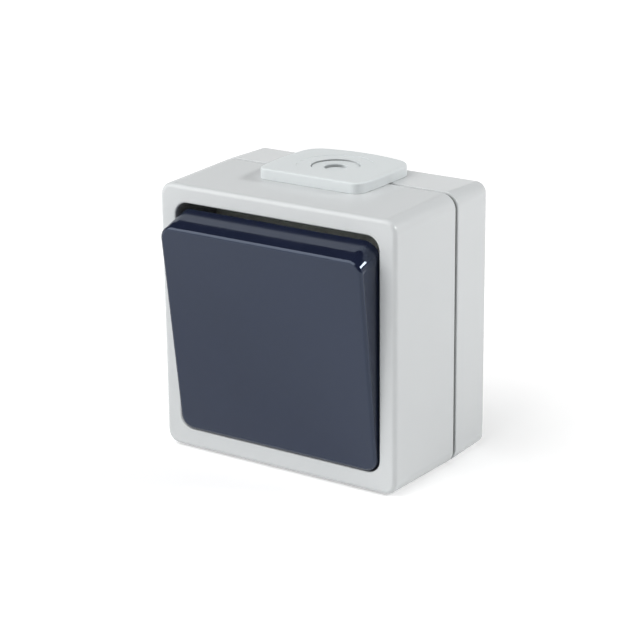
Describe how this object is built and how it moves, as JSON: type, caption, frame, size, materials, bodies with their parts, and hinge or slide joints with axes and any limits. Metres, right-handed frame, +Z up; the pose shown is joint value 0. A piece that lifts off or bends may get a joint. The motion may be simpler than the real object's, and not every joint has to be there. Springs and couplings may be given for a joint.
{
  "type": "surface-mounted light switch",
  "caption": "Square two-part housing for wall mounting with a tilting dark blue rocker, a cable grommet on top and a changeover contact lever inside.",
  "frame": {"origin": "centre of the back face that lies on the wall", "axes": "X right as seen from the front, Y into the wall, Z up with the grommet on top"},
  "size_m": [0.067, 0.0474, 0.0695],
  "materials": {
    "housing": "fine satin moulded plastic",
    "rocker": "glossy dark blue plastic",
    "grommet": "soft white elastomer",
    "gasket": "dark matt elastomer",
    "joint_seal": "grey matt elastomer",
    "mat": "pale matt elastomer",
    "insert": "moulded insulating plastic",
    "cradle": "smooth bearing plastic",
    "brass": "stamped brass strip",
    "silver": "silver contact metal",
    "steel": "zinc plated steel"
  },
  "bodies": {
    "housing": {"base_box": "housing", "front_cover": "housing", "joint_gasket": "joint_seal", "cable_grommet": "grommet", "cover_screws": "steel", "well_seal": "mat", "insert_socket": "insert", "insert_cap": "insert", "insert_seal": "gasket", "insert_screws": "steel", "common_terminal": "brass", "upper_terminal": "brass", "lower_terminal": "brass", "fixed_contacts": "silver", "terminal_clamps": "brass", "terminal_screws": "steel", "lever_pin": "steel"},
    "rocker": {"rocker_button": "rocker", "rocker_cradle": "cradle", "plunger_spring": "steel"},
    "plunger": {"plunger": "cradle"},
    "lever": {"contact_lever": "brass", "moving_contacts": "silver"}
  },
  "joints": [
    {"name": "rocker_tilt", "type": "hinge", "parent": "housing", "child": "rocker", "pos_m": [0, -0.0282, 0.00025], "axis": [1, 0, 0], "range_deg": [-14.4, 0]},
    {"name": "plunger_slide", "type": "slide", "parent": "rocker", "child": "plunger", "axis": [0, 0.9921, 0.1253], "range_m": [-0.0015, 0.0002], "stiffness_N_per_m": 400, "deforming": ["plunger_spring"]},
    {"name": "contact_rock", "type": "hinge", "parent": "housing", "child": "lever", "pos_m": [0, -0.0104, 0.00025], "axis": [1, 0, 0], "range_deg": [0, 16]}
  ],
  "couplings": [
    {"joint": "contact_rock", "follows": "rocker_tilt", "ratio": -1.1111}
  ]
}
